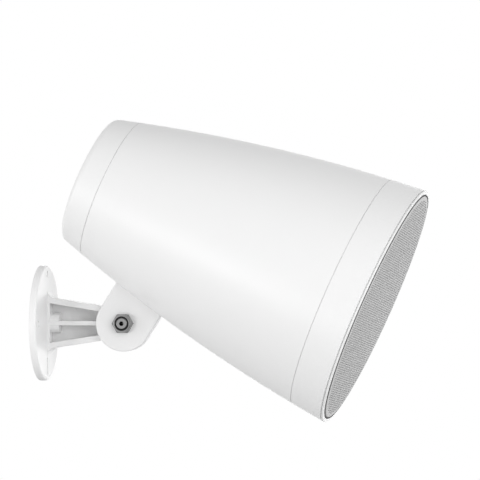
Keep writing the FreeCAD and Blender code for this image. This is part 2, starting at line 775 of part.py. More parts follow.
def cable_grommet():
    """Rubber grommet that lines the cable hole."""
    x_end, x_inside = -REAR_END, cap_inside()
    rim = GROMMET_RIM_THICKNESS

    def disc(x, radius, length):
        return Part.makeCylinder(radius, length, Vector(x, -GROMMET_SIDE, 0), AXIS)

    body = disc(x_end - rim, GROMMET_RIM_RADIUS, rim)
    body = fuse_all(
        body,
        [disc(x_end, GROMMET_HOLE_RADIUS - GROMMET_PLAY, WALL), disc(x_inside, GROMMET_RIM_RADIUS, rim)],
    )
    return body.cut(disc(x_end - rim, GROMMET_BORE_RADIUS, WALL + 2 * rim))


# Driver

def driver_gasket():
    """Foam ring between the driver's frame and the baffle."""
    x = driver_seat()
    body = ring(x, x + GASKET_THICKNESS, BAFFLE_HOLE_RADIUS, DRIVER_RADIUS)
    return cut_all(body, driver_screw_bores())


def driver_basket():
    """Pressed steel frame: flange, windowed cone, spider ledge and magnet seat."""
    front, sheet = driver_front(), BASKET_SHEET
    waist, ledge, end = front - BASKET_WAIST_DEPTH, front - BASKET_LEDGE_DEPTH, front - BASKET_DEPTH
    body = turned(
        [
            (front, DRIVER_RADIUS),
            (front, BASKET_MOUTH_RADIUS),
            (waist, BASKET_WAIST_RADIUS),
            (ledge, BASKET_WAIST_RADIUS),
            (ledge, BASKET_LEDGE_RADIUS),
            (end, BASKET_LEDGE_RADIUS),
            (end, BASKET_HOLE_RADIUS),
            (end - sheet, BASKET_HOLE_RADIUS),
            (end - sheet, BASKET_LEDGE_RADIUS + sheet),
            (ledge - sheet, BASKET_LEDGE_RADIUS + sheet),
            (ledge - sheet, BASKET_WAIST_RADIUS + sheet),
            (waist, BASKET_WAIST_RADIUS + sheet),
            (front - sheet, BASKET_MOUTH_RADIUS + sheet),
            (front - sheet, DRIVER_RADIUS),
        ]
    )
    x_low, x_high = waist + BASKET_WINDOW_MARGIN, front - BASKET_WINDOW_MARGIN
    window = turned(
        [
            (x_low, BASKET_LEDGE_RADIUS),
            (x_high, BASKET_LEDGE_RADIUS),
            (x_high, DRIVER_RADIUS),
            (x_low, DRIVER_RADIUS),
        ],
        degrees=BASKET_WINDOW_DEGREES,
    )
    windows = spaced_round(window, BASKET_WINDOW_COUNT)
    return cut_all(body, windows + driver_screw_bores())


def magnet_front():
    """Back of the basket, where the magnet's stack starts."""
    return driver_front() - BASKET_DEPTH - BASKET_SHEET


def top_plate():
    """Steel front plate of the magnet, with the coil's gap in the middle."""
    x = magnet_front()
    return ring(x - PLATE_THICKNESS, x, PLATE_BORE_RADIUS, PLATE_RADIUS)


def magnet():
    """Ferrite ring."""
    x = magnet_front() - PLATE_THICKNESS
    return ring(x - MAGNET_THICKNESS, x, MAGNET_BORE_RADIUS, MAGNET_RADIUS)


def back_plate():
    """Steel back plate with the pole, whose end is level with the top plate."""
    x = magnet_front() - PLATE_THICKNESS - MAGNET_THICKNESS
    plate = Part.makeCylinder(PLATE_RADIUS, PLATE_THICKNESS, Vector(x - PLATE_THICKNESS, 0, 0), AXIS)
    pole_length = magnet_front() - x
    return fuse_all(plate, [Part.makeCylinder(POLE_RADIUS, pole_length, Vector(x, 0, 0), AXIS)])


def neck_front():
    """Front end of the cone's neck."""
    return driver_front() - CONE_DEPTH


def cone():
    """Paper cone with a flat rim and a neck."""
    front, neck = driver_front(), neck_front()
    rim = CONE_RADIUS - CONE_RIM_WIDTH
    return turned(
        [
            (front, CONE_RADIUS),
            (front, rim),
            (neck, GLUED_RADIUS),
            (neck - NECK_LENGTH, GLUED_RADIUS),
            (neck - NECK_LENGTH, GLUED_RADIUS + CONE_SHEET),
            (neck - CONE_SHEET, GLUED_RADIUS + CONE_SHEET),
            (front - CONE_SHEET, rim + CONE_SHEET / 2.0),
            (front - CONE_SHEET, CONE_RADIUS),
        ]
    )


def coil_former():
    """Thin tube that carries the winding and the cone."""
    tail = magnet_front() - FORMER_TAIL
    return ring(tail, neck_front() + FORMER_HEAD, FORMER_INNER_RADIUS, FORMER_OUTER_RADIUS)


def voice_coil():
    """Winding, centred on the top plate."""
    middle = magnet_front() - PLATE_THICKNESS / 2.0
    half = WINDING_LENGTH / 2.0
    return ring(middle - half, middle + half, GLUED_RADIUS, GLUED_RADIUS + WINDING_WALL)


def whizzer():
    """Small inner cone for the high notes."""
    x, rise = neck_front(), WHIZZER_RISE
    return turned(
        [
            (x, GLUED_RADIUS),
            (x + FORMER_HEAD, GLUED_RADIUS),
            (x + FORMER_HEAD + rise, WHIZZER_RADIUS),
            (x + FORMER_HEAD + rise, WHIZZER_RADIUS + WHIZZER_SHEET),
            (x + FORMER_HEAD, GLUED_RADIUS + WHIZZER_SHEET),
        ]
    )


def dust_cap():
    """Dome that closes the former's front end."""
    x = neck_front()
    rim = FORMER_INNER_RADIUS - GLUE_LINE
    inner = rim - DUST_CAP_SHEET
    shoulder = x + FORMER_HEAD
    crown = shoulder + DUST_CAP_HEIGHT
    edges = [
        profile_line((x, inner), (x, rim)),
        profile_line((x, rim), (shoulder, rim)),
        profile_arc_dome((shoulder, rim), crown),
        profile_line((crown, 0), (crown - DUST_CAP_SHEET, 0)),
        profile_arc_dome((shoulder, inner), crown - DUST_CAP_SHEET),
        profile_line((shoulder, inner), (x, inner)),
    ]
    return turned_edges(edges)


def surround():
    """Half-roll edge between the cone's rim and the frame."""
    front, sheet = driver_front(), SURROUND_SHEET
    middle = (CONE_RADIUS + BASKET_MOUTH_RADIUS) / 2.0
    outer_roll = ROLL_RADIUS + sheet
    foot = math.sqrt(outer_roll * outer_roll - sheet * sheet)
    low = CONE_RADIUS - CONE_RIM_WIDTH
    high = middle + outer_roll + SURROUND_LANDING
    edges = [
        profile_line((front, high), (front + sheet, high)),
        profile_line((front + sheet, high), (front + sheet, middle + foot)),
        profile_arc(
            (front + sheet, middle + foot), (front + outer_roll, middle), (front + sheet, middle - foot)
        ),
        profile_line((front + sheet, middle - foot), (front + sheet, low)),
        profile_line((front + sheet, low), (front, low)),
        profile_line((front, low), (front, middle - ROLL_RADIUS)),
        profile_arc(
            (front, middle - ROLL_RADIUS), (front + ROLL_RADIUS, middle), (front, middle + ROLL_RADIUS)
        ),
        profile_line((front, middle + ROLL_RADIUS), (front, high)),
    ]
    return turned_edges(edges)


def spider():
    """Corrugated ring that centres the former on the basket's ledge."""
    x = driver_front() - BASKET_LEDGE_DEPTH
    high = BASKET_LEDGE_RADIUS + SPIDER_LANDING
    low = GLUED_RADIUS
    start = low + SPIDER_LANDING
    step = (BASKET_LEDGE_RADIUS - start) / (2.0 * SPIDER_WAVE_COUNT)
    wave = [(x, low)]
    for index in range(2 * SPIDER_WAVE_COUNT + 1):
        wave.append((x + (index % 2) * SPIDER_WAVE_HEIGHT, start + index * step))
    wave.append((x, high))
    front = [(place + SPIDER_SHEET, radius) for place, radius in reversed(wave)]
    return turned(wave + front)


# Line transformer and terminals

def core_base():
    """Rear face of the transformer's core, level with the strap's feet."""
    return cap_inside() + STRAP_BOSS_HEIGHT


def strap_screw_heights():
    """Heights of the strap's two screws."""
    height = CORE_HEIGHT / 2.0 + STRAP_PLAY + STRAP_SHEET + STRAP_FOOT / 2.0
    return (-height, height)


def strap_screw_bores():
    """Holes for the strap's screws."""
    start = core_base() + STRAP_SHEET
    return [
        Part.makeCylinder(SCREW_RADIUS + SCREW_PLAY, STRAP_SCREW_LENGTH, Vector(start, 0, z), AXIS * -1)
        for z in strap_screw_heights()
    ]


def transformer_core():
    """Stack of laminations with two windows for the coil."""
    x, half_z, half_y = core_base(), CORE_HEIGHT / 2.0, CORE_STACK / 2.0
    body = box_between(Vector(x, -half_y, -half_z), Vector(x + CORE_LENGTH, half_y, half_z))
    windows = [
        box_between(
            Vector(x + CORE_LEG, -half_y, min(side * CORE_LEG, side * (half_z - CORE_LEG))),
            Vector(x + CORE_LENGTH - CORE_LEG, half_y, max(side * CORE_LEG, side * (half_z - CORE_LEG))),
        )
        for side in (-1, 1)
    ]
    return cut_all(body, windows)


def transformer_coil():
    """Winding round the middle leg of the core."""
    x, half_y = core_base(), CORE_STACK / 2.0
    x_low, x_high = x + CORE_LEG + COIL_PLAY, x + CORE_LENGTH - CORE_LEG - COIL_PLAY
    half_z = CORE_HEIGHT / 2.0 - CORE_LEG - COIL_PLAY
    wide = half_y + COIL_OVERHANG
    body = box_between(Vector(x_low, -wide, -half_z), Vector(x_high, wide, half_z))
    along = [e for e in body.Edges if abs(e.Length - (x_high - x_low)) < 1e-6]
    body = body.makeFillet(COIL_OVERHANG / 4.0, along)
    leg = box_between(
        Vector(x_low, -half_y - COIL_PLAY, -CORE_LEG - COIL_PLAY),
        Vector(x_high, half_y + COIL_PLAY, CORE_LEG + COIL_PLAY),
    )
    return body.cut(leg)


def transformer_strap():
    """Folded steel strap over the core, with a screwed foot at each end."""
    x, half_y = core_base(), STRAP_WIDTH / 2.0
    inner = CORE_HEIGHT / 2.0 + STRAP_PLAY
    outer = inner + STRAP_SHEET
    x_top = x + CORE_LENGTH + STRAP_PLAY
    outline = [
        (x, inner), (x, outer + STRAP_FOOT), (x + STRAP_SHEET, outer + STRAP_FOOT), (x + STRAP_SHEET, outer),
        (x_top + STRAP_SHEET, outer), (x_top + STRAP_SHEET, -outer), (x + STRAP_SHEET, -outer),
        (x + STRAP_SHEET, -outer - STRAP_FOOT), (x, -outer - STRAP_FOOT), (x, -inner), (x_top, -inner),
        (x_top, inner),
    ]
    return cut_all(side_prism(outline, -half_y, half_y), strap_screw_bores())


def strap_screws():
    """Two screws through the strap's feet."""
    seat = core_base() + STRAP_SHEET
    screws = [
        pan_screw(Vector(seat, 0, z), AXIS * -1, STRAP_SCREW_LENGTH) for z in strap_screw_heights()
    ]
    return Part.makeCompound(screws)


def terminal_places():
    """Middle of each terminal's screw hole on the block's front."""
    pitch = TERMINAL_HEIGHT / TERMINAL_COUNT
    x = cap_inside() + TERMINAL_DEPTH
    y = TERMINAL_SIDE + TERMINAL_WIDTH / 2.0
    first = -(TERMINAL_COUNT - 1) / 2.0
    return [Vector(x, y, (first + index) * pitch) for index in range(TERMINAL_COUNT)]


def terminal_block():
    """Insulating block with a screw well for each terminal."""
    x, half_z = cap_inside(), TERMINAL_HEIGHT / 2.0
    body = box_between(
        Vector(x, TERMINAL_SIDE, -half_z),
        Vector(x + TERMINAL_DEPTH, TERMINAL_SIDE + TERMINAL_WIDTH, half_z),
    )
    radius = TERMINAL_SCREW_RADIUS + TERMINAL_SCREW_PLAY
    wells = [
        Part.makeCylinder(radius, TERMINAL_SCREW_LENGTH, place, AXIS * -1) for place in terminal_places()
    ]
    return cut_all(body, wells)


def terminal_screws():
    """Clamp screws, one in each well, down to its floor."""
    screws = [
        Part.makeCylinder(TERMINAL_SCREW_RADIUS, TERMINAL_SCREW_LENGTH, place, AXIS * -1)
        for place in terminal_places()
    ]
    return Part.makeCompound(screws)


FIXED_PIECES = (wall_bracket, pivot_bolt, pivot_nut, nut_insert)
CABINET_PIECES = (
    cabinet_shell, front_ring, grille, grille_cloth, rear_cap, rear_seal, cap_screws, cable_grommet,
    driver_gasket, driver_basket, driver_screws, top_plate, magnet, back_plate, surround, spider, cone,
    coil_former, voice_coil, whizzer, dust_cap, transformer_core, transformer_coil, transformer_strap,
    strap_screws, terminal_block, terminal_screws,
)


def main():
    """Write each piece to its own file."""
    os.makedirs("parts", exist_ok=True)
    for piece in FIXED_PIECES:
        piece().exportStep("parts/" + piece.__name__ + ".step")
    for piece in CABINET_PIECES:
        seated(piece()).exportStep("parts/" + piece.__name__ + ".step")


main()
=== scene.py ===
import json
import math

import bpy
from mathutils import Matrix, Vector
from mathutils.geometry import delaunay_2d_cdt


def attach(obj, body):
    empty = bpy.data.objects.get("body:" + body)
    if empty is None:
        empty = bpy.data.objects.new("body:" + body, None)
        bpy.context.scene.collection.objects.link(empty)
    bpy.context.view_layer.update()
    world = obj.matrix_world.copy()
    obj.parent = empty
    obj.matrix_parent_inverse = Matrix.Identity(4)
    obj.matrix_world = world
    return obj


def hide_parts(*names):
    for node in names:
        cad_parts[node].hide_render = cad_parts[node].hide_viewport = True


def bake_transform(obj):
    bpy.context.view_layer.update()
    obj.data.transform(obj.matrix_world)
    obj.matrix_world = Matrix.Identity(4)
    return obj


# Wall speaker: finishes, perforated grille, fasteners, seams, soft rings, light and camera.
# Lengths are in metres, with +X out of the wall and +Z up.

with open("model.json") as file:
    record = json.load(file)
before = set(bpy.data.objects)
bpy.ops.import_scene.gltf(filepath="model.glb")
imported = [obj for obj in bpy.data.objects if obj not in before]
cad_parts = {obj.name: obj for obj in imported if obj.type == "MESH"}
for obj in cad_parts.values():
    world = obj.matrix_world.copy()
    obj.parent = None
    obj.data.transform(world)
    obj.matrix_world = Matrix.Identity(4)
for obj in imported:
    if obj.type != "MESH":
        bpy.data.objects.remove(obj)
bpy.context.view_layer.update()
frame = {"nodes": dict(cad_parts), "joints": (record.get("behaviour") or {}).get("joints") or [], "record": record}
scene = bpy.context.scene
nodes = frame["nodes"]
joints = {joint["name"]: joint for joint in frame["joints"]}

MM = 0.001

# Camera: a long lens, level with the middle of the cabinet and a little ahead of the hinge
IMAGE_PIXELS = 480
SENSOR_WIDTH = 36.0
FOCAL_PIXELS = 4500
METRES_PER_PIXEL = 0.69968 * MM
VIEW_AZIMUTH = 9.65
VIEW_TARGET = Vector((142.2 * MM, 0.0, 58.53 * MM))
VIEW_END = 50.0

# Surroundings
WORLD_LIGHT = 0.45
BACKGROUND_WHITE = 1.0

# Soft boxes: name, azimuth and elevation in degrees, size in metres, watts
SOFT_BOXES = (
    ("far_left_light", -70.0, 5.0, 1.2, 15.0),
    ("left_light", -36.0, -9.0, 0.65, 11.6),
    ("right_light", 35.0, 5.0, 1.2, 14.0),
    ("high_right_light", 35.0, 35.0, 1.2, 4.3),
    ("far_right_light", 70.0, 5.0, 1.2, 18.4),
    ("rear_light", 182.0, 0.0, 1.2, 9.0),
)
BOX_DISTANCE = 2.4

# Floor
FLOOR_DROP = 300 * MM
FLOOR_RADIUS = 1600 * MM
FLOOR_FADE_START = 800 * MM
FLOOR_STEPS = 96
FLOOR_LEVEL = 0.86
FLOOR_ROUGHNESS = 0.9

# Perforated grille
GRILLE_SHEET = 1.0 * MM
GRILLE_BEND = 1.2 * MM
GRILLE_DISH = 2.5 * MM
GRILLE_PITCH = 1.72 * MM
GRILLE_HOLE_RADIUS = 0.68 * MM
GRILLE_PLAIN_MARGIN = 2.2 * MM
GRILLE_HOLE_SIDES = 5
GRILLE_TURN = math.radians(-4.2)
GRILLE_RIM_STEPS = 192
GRILLE_BEND_STEPS = 5
SAME_POINT = 1e-9

# Hinge bolt
BOLT_HEAD_HEIGHT = 5.3 * MM
BOLT_RADIUS = 4.0 * MM
BOLT_TIP_CHAMFER = 0.4 * MM
BOLT_PITCH = 1.25 * MM
BOLT_THREAD_DEPTH = 0.5 * MM
BOLT_THREAD_LENGTH = 15.0 * MM
BOLT_SOCKET_FLATS = 3.0 * MM
BOLT_SOCKET_DEPTH = 2.6 * MM
BOLT_SOCKET_POINT = 3.0 * MM
HEX_FACE_SHARE = 0.95
HEX_CHAMFER_HEIGHT = 0.75 * MM

# Rear cap screws
SCREW_HEAD_RADIUS = 3.0 * MM
SCREW_HEAD_HEIGHT = 2.2 * MM
SCREW_HEAD_ROUND = 1.1 * MM
SCREW_RADIUS = 1.6 * MM
SCREW_PITCH = 1.2 * MM
SCREW_THREAD_DEPTH = 0.3 * MM
SCREW_TIP_LENGTH = 2.0 * MM
CROSS_LENGTH = 1.6 * MM
CROSS_WIDTH = 0.9 * MM
CROSS_DEPTH = 1.5 * MM
CROSS_FLOOR_SHARE = 0.5
CROSS_LEAST_SHARE = 1e-6

# Bead in the seams of the cabinet
SEAM_GAP = 0.4 * MM
SEAM_PLAY = 0.01 * MM
SEAM_DEPTH = 0.32 * MM
SEAM_BEAD_HEIGHT = 1.0 * MM
SEAM_STEPS = 192

# Steps of turned fasteners
TURN_STEPS = 60
ROUND_STEPS = 6
STEPS_PER_PITCH = 6
SHARP_ANGLE = math.radians(32.0)

# Grain of the finishes
GRAIN_DETAIL = 3.0
GRAIN_HEIGHT = 0.2 * MM
ROUGHNESS_SPREAD = 0.08
MOTTLE_GRAINS = 40.0
MOTTLE_DETAIL = 2.0

# Edges of the finishes, and the painted shade in their holes and narrow places
EDGE_SAMPLES = 6
PAINTED_SHADE_SAMPLES = 6
PAINTED_SHADE_REACH = 2.0 * MM
PAINTED_SHADE_CLOSED = 0.6
PAINTED_SHADE_OPEN = 0.9


# Places

def place_in_space(origin, along, side, up):
    """Function from (distance along, sideways, up) to a point in space."""
    return lambda a, s, u: origin + along * a + side * s + up * u


def reach(node, direction):
    """Lowest and highest place of a node along a direction."""
    places = [vertex.co.dot(direction) for vertex in nodes[node].data.vertices]
    return min(places), max(places)


def middle(node, direction):
    """Middle of a node along a direction."""
    low, high = reach(node, direction)
    return (low + high) / 2.0


def circle_turns(steps):
    """Evenly spaced turns of a circle."""
    return [2.0 * math.pi * index / steps for index in range(steps)]


def loop_edges(start, count):
    """Closed loop of edges over vertices in a row."""
    return [(start + index, start + (index + 1) % count) for index in range(count)]


# The cabinet's own axes: along to the front, sideways and up
SIDE = Vector((0.0, 1.0, 0.0))
ALONG = Vector(joints["cone_stroke"]["axis"]).normalized()
UP = ALONG.cross(SIDE)

# The grille's own place: its rim lies at zero along the axis
GRILLE_RADIUS = (reach("grille", SIDE)[1] - reach("grille", SIDE)[0]) / 2.0
GRILLE_RIM = reach("grille", ALONG)[1] - GRILLE_DISH
GRILLE_SKIRT = GRILLE_RIM - reach("grille", ALONG)[0]
grille_place = place_in_space(ALONG * GRILLE_RIM + UP * middle("front_ring", UP), ALONG, SIDE, UP)


def axis_radii(node, axis_height):
    """Distance of each vertex of a node from the cabinet's axis."""
    places = [vertex.co for vertex in nodes[node].data.vertices]
    return [math.hypot(place.dot(SIDE), place.dot(UP) - axis_height) for place in places]


# Objects and shader nodes

def mesh_object(name, vertices, faces, smooth=None):
    """Mesh from vertices and faces; smooth says for each face whether it is shaded smooth."""
    mesh = bpy.data.meshes.new(name)
    mesh.from_pydata([tuple(vertex) for vertex in vertices], [], faces)
    if smooth is not None:
        mesh.polygons.foreach_set("use_smooth", smooth)
    mesh.update()
    return linked_object(name, mesh)


def linked_object(name, data):
    """Object of some data, linked into the scene."""
    obj = bpy.data.objects.new(name, data)
    scene.collection.objects.link(obj)
    return obj


def add_node(tree, kind, **values):
    """Shader node of a kind, with values on its inputs; a name's underscores stand for spaces."""
    node = tree.nodes.new(kind)
    for name, value in values.items():
        node.inputs[name.replace("_", " ")].default_value = value
    return node


def mapped(tree, value, low, high, start=0.0, end=1.0):
    """Map node that spreads a value's stretch from start to end over low to high."""
    node = add_node(tree, "ShaderNodeMapRange", From_Min=start, From_Max=end, To_Min=low, To_Max=high)
    tree.links.new(value, node.inputs["Value"])
    return node


def node_material(name):
    """New material with its node tree and shader."""
    material = bpy.data.materials.new(name)
    material.use_nodes = True
    return material, material.node_tree, material.node_tree.nodes["Principled BSDF"]


def grey(level):
    """Neutral colour of a level."""
    return level, level, level


# Camera, light and stage

def direction_back(azimuth, elevation=0.0):
    """Direction from the object to a viewer or lamp at an azimuth and elevation in degrees."""
    turn, rise = math.radians(azimuth), math.radians(elevation)
    return Vector((math.sin(turn) * math.cos(rise), -math.cos(turn) * math.cos(rise), math.sin(rise)))


def aimed_object(name, data, back, distance):
    """Camera or lamp that looks at the middle of the object from a direction and distance."""
    obj = linked_object(name, data)
    obj.location = VIEW_TARGET + back * distance
    obj.rotation_euler = back.to_track_quat("Z", "Y").to_euler()
    return obj


def add_camera():
    """Camera at the photograph's viewing angle."""
    data = bpy.data.cameras.new("camera")
    data.sensor_width = SENSOR_WIDTH
    data.lens = SENSOR_WIDTH * FOCAL_PIXELS / IMAGE_PIXELS
    data.clip_end = VIEW_END
    back = direction_back(VIEW_AZIMUTH)
    scene.camera = aimed_object("camera", data, back, FOCAL_PIXELS * METRES_PER_PIXEL)


def add_soft_box(name, azimuth, elevation, size, watts):
    """Square soft box that looks at the middle of the object."""
    data = bpy.data.lights.new(name, "AREA")
    data.shape = "SQUARE"
    data.size = size
    data.energy = watts
    aimed_object(name, data, direction_back(azimuth, elevation), BOX_DISTANCE)


def larger(tree, first, second):
    """Larger of two values."""
    node = tree.nodes.new("ShaderNodeMath")
    node.operation = "MAXIMUM"
    tree.links.new(first, node.inputs[0])
    tree.links.new(second, node.inputs[1])
    return node.outputs[0]


def seen_directly(tree):
    """1 where a camera, glossy or transmission ray sees the surface, else 0."""
    path = tree.nodes.new("ShaderNodeLightPath").outputs
    plain = larger(tree, path["Is Camera Ray"], path["Is Glossy Ray"])
    return larger(tree, plain, path["Is Transmission Ray"])


def light_world():
    """Even white surroundings: a plain level of light, and white where they are seen."""
    world = bpy.data.worlds.new("studio")
    world.use_nodes = True
    tree = world.node_tree
    background = tree.nodes["Background"]
    background.inputs["Color"].default_value = grey(1.0) + (1.0,)
    strength = mapped(tree, seen_directly(tree), WORLD_LIGHT, BACKGROUND_WHITE)
    tree.links.new(strength.outputs["Result"], background.inputs["Strength"])
    scene.world = world


def floor_material():
    """Pale floor that fades into the white surroundings at its edge."""
    material, tree, shader = node_material("floor")
    shader.inputs["Base Color"].default_value = grey(FLOOR_LEVEL) + (1.0,)
    shader.inputs["Roughness"].default_value = FLOOR_ROUGHNESS
    place = tree.nodes.new("ShaderNodeTexCoord")
    distance = tree.nodes.new("ShaderNodeVectorMath")
    distance.operation = "LENGTH"
    tree.links.new(place.outputs["Object"], distance.inputs[0])
    fade = mapped(tree, distance.outputs["Value"], 1.0, 0.0, FLOOR_FADE_START, FLOOR_RADIUS)
    fade.interpolation_type = "SMOOTHSTEP"
    tree.links.new(fade.outputs["Result"], shader.inputs["Alpha"])
    return material


def add_floor():
    """Round pale floor below the object."""
    turns = circle_turns(FLOOR_STEPS)
    ring = [(FLOOR_RADIUS * math.cos(turn), FLOOR_RADIUS * math.sin(turn), 0.0) for turn in turns]
    floor = mesh_object("floor", ring, [list(range(FLOOR_STEPS))])
    floor.location = (VIEW_TARGET.x, VIEW_TARGET.y, -FLOOR_DROP)
    floor.data.materials.append(floor_material())


# Finishes

def painted_recess_shade(tree, colour, share):
    """Painted shade: colour that falls to a share of itself in holes and narrow places, as closed-in places fall
    into shade.
    """
    openness = add_node(tree, "ShaderNodeAmbientOcclusion", Distance=PAINTED_SHADE_REACH)
    openness.samples = PAINTED_SHADE_SAMPLES
    openness.only_local = True
    level = mapped(tree, openness.outputs["AO"], share, 1.0, PAINTED_SHADE_CLOSED, PAINTED_SHADE_OPEN)
    darker = tree.nodes.new("ShaderNodeVectorMath")
    darker.operation = "SCALE"
    tree.links.new(colour, darker.inputs[0])
    tree.links.new(level.outputs["Result"], darker.inputs["Scale"])
    return darker.outputs["Vector"]


def surface_noise(tree, place, scale, detail):
    """Noise that lies fixed on the surface."""
    noise = add_node(tree, "ShaderNodeTexNoise", Scale=scale, Detail=detail)
    tree.links.new(place.outputs["Object"], noise.inputs["Vector"])
    return noise.outputs["Fac"]


def varied_material(
    name, colour, roughness, metallic=0.0, specular=0.5, grain=900.0, bump=0.05, tint=0.02,
    soft_edge=0.0, painted_shade_share=1.0,
):
    """Surface whose colour, roughness and height vary with a fine grain and a broad mottle.

    The soft edge is the radius of its rounded edges; the painted shade share is the share of the colour left in
    holes and narrow places, where shade is painted into the colour.
    """
    material, tree, shader = node_material(name)
    shader.inputs["Metallic"].default_value = metallic
    shader.inputs["Specular IOR Level"].default_value = specular
    place = tree.nodes.new("ShaderNodeTexCoord")
    fine = surface_noise(tree, place, grain, GRAIN_DETAIL)
    broad = surface_noise(tree, place, grain / MOTTLE_GRAINS, MOTTLE_DETAIL)

    shade = tree.nodes.new("ShaderNodeValToRGB")
    shade.color_ramp.elements[0].color = tuple(part * (1.0 - tint) for part in colour) + (1.0,)
    shade.color_ramp.elements[1].color = tuple(colour) + (1.0,)
    tree.links.new(broad, shade.inputs["Fac"])
    shown = shade.outputs["Color"]
    # Painted shade: the colour darkens in holes and narrow places
    if painted_shade_share < 1.0:
        shown = painted_recess_shade(tree, shown, painted_shade_share)
    tree.links.new(shown, shader.inputs["Base Color"])

    half_spread = ROUGHNESS_SPREAD / 2.0
    gloss = mapped(tree, fine, roughness - half_spread, roughness + half_spread)
    tree.links.new(gloss.outputs["Result"], shader.inputs["Roughness"])

    height = add_node(tree, "ShaderNodeBump", Strength=bump, Distance=GRAIN_HEIGHT)
    tree.links.new(fine, height.inputs["Height"])
    tree.links.new(height.outputs["Normal"], shader.inputs["Normal"])
    if soft_edge:
        rounded = add_node(tree, "ShaderNodeBevel", Radius=soft_edge)
        rounded.samples = EDGE_SAMPLES
        tree.links.new(rounded.outputs["Normal"], height.inputs["Normal"])
    return material


FINISHES = {
    "white_moulding": dict(colour=grey(0.86), roughness=0.4, bump=0.03, soft_edge=0.5 * MM),
    "bright_steel": dict(colour=grey(0.28), roughness=0.3, metallic=1.0, tint=0.12, soft_edge=0.25 * MM),
    "black_nylon": dict(colour=grey(0.01), roughness=0.5, specular=0.2),
    # Painted shade in the grille's holes: their colour falls to 0.74 of the paint
    "grille_paint": dict(colour=grey(0.54), roughness=0.55, painted_shade_share=0.74),
    "dark_cloth": dict(colour=grey(0.12), roughness=0.95, grain=1500.0, bump=0.4, tint=0.4),
    "black_rubber": dict(colour=grey(0.02), roughness=0.7, bump=0.15, tint=0.2),
    "screw_steel": dict(colour=grey(0.5), roughness=0.35, metallic=1.0, tint=0.15),
    "basket_paint": dict(colour=grey(0.02), roughness=0.4),
    "plated_steel": dict(colour=(0.55, 0.55, 0.53), roughness=0.35, metallic=1.0, tint=0.15),
    "ferrite": dict(colour=(0.06, 0.06, 0.065), roughness=0.65, bump=0.2, tint=0.2),
    "cone_paper": dict(colour=grey(0.03), roughness=0.85, bump=0.3, tint=0.3),
    "spider_cloth": dict(colour=(0.5, 0.36, 0.14), roughness=0.85, bump=0.4, tint=0.25),
    "former_film": dict(colour=(0.4, 0.22, 0.06), roughness=0.3, tint=0.1),
    "copper_wire": dict(colour=(0.72, 0.3, 0.15), roughness=0.3, metallic=1.0, bump=0.3, tint=0.1),
    "lamination_steel": dict(colour=(0.25, 0.25, 0.27), roughness=0.5, metallic=0.8, bump=0.3),
    "coil_wrap": dict(colour=(0.7, 0.5, 0.08), roughness=0.4, tint=0.15),
    "terminal_plastic": dict(colour=(0.75, 0.74, 0.7), roughness=0.5),
    "brass": dict(colour=(0.8, 0.6, 0.25), roughness=0.3, metallic=1.0, tint=0.15),
}
MATERIALS = {name: varied_material(name, **finish) for name, finish in FINISHES.items()}


def paint(obj, slot):
    """Give a piece the finish of a material slot."""
    obj.data.materials.clear()
    obj.data.materials.append(MATERIALS[slot])


def finish_piece(obj, slot, *node):
    """Give a new piece a slot's finish and the place of the node that it stands for, if any."""
    paint(obj, slot)
    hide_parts(*node)


def add_piece(obj, body, slot, *node):
    """New piece that moves with a body and may stand for a node."""
    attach(obj, body)
    finish_piece(obj, slot, *node)


# Grille

def hole_centres(limit):
    """Centres of the grille's holes, in rows on a triangular grid, inside a circle."""
    rise = GRILLE_PITCH * math.sqrt(3.0) / 2.0
    rows = int(limit / rise) + 1
    columns = int(limit / GRILLE_PITCH) + 1
    turn = Matrix.Rotation(GRILLE_TURN, 2)
    centres = []
    for row in range(-rows, rows + 1):
        for column in range(-columns, columns + 1):
            centre = turn @ Vector(((column + 0.5 * (row % 2)) * GRILLE_PITCH, row * rise))
            if centre.length < limit:
                centres.append(centre)
    return centres


def circle_points(centre, radius, steps):
    """Points of a circle in the plane."""
    return [centre + Vector((math.cos(turn), math.sin(turn))) * radius for turn in circle_turns(steps)]


def dome_height(radius, rim):
    """Rise of the grille's shallow dome above its rim."""
    ball = (rim * rim + GRILLE_DISH * GRILLE_DISH) / (2.0 * GRILLE_DISH)
    return math.sqrt(ball * ball - radius * radius) - (ball - GRILLE_DISH)


def skirt_profile():
    """Section of the grille's edge, from the bend at the front round to the inside: (along, radius)."""
    profile = []
    for index in range(1, GRILLE_BEND_STEPS + 1):
        turn = math.pi / 2.0 * index / GRILLE_BEND_STEPS
        drop = GRILLE_BEND * (math.cos(turn) - 1.0)
        profile.append((drop, GRILLE_RADIUS + GRILLE_BEND * (math.sin(turn) - 1.0)))
    inner = GRILLE_RADIUS - GRILLE_SHEET
    profile += [(-GRILLE_SKIRT, GRILLE_RADIUS), (-GRILLE_SKIRT, inner), (-GRILLE_SHEET, inner)]
    return profile


